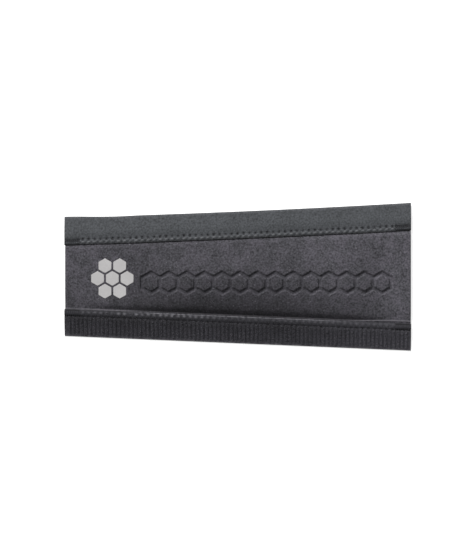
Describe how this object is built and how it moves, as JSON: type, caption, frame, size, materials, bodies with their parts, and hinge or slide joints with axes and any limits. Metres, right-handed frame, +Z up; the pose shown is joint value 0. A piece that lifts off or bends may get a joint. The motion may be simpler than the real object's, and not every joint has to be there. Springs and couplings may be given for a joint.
{
  "type": "chainstay protector",
  "caption": "Tapered neoprene wrap with a loop tape and a hook tape along its long edges, closed round a bicycle's chainstay to guard it from chain slap.",
  "frame": {"origin": "centre of the bounding box, on the surface that the protector lies on", "axes": "+X along the chainstay from the narrow end to the wide end, +Y across from the hook edge to the loop edge, +Z up out of the outer face"},
  "size_m": [0.25, 0.1068, 0.0068],
  "materials": {
    "jersey_laminate": "matt charcoal jersey over foam",
    "loop_tape": "matt woven tape",
    "hook_tape": "matt black nylon hooks",
    "thread": "black bonded thread",
    "reflective_film": "satin light grey reflective film"
  },
  "bodies": {
    "root": {"neoprene_panel": "jersey_laminate", "loop_tape": "loop_tape", "hook_tape": "hook_tape", "loop_seam_needle_thread": "thread", "loop_seam_bobbin_thread": "thread", "hook_seam_needle_thread": "thread", "hook_seam_bobbin_thread": "thread", "reflective_hexagon_1": "reflective_film", "reflective_hexagon_2": "reflective_film", "reflective_hexagon_3": "reflective_film", "reflective_hexagon_4": "reflective_film", "reflective_hexagon_5": "reflective_film", "reflective_hexagon_6": "reflective_film", "reflective_hexagon_7": "reflective_film"}
  },
  "joints": []
}
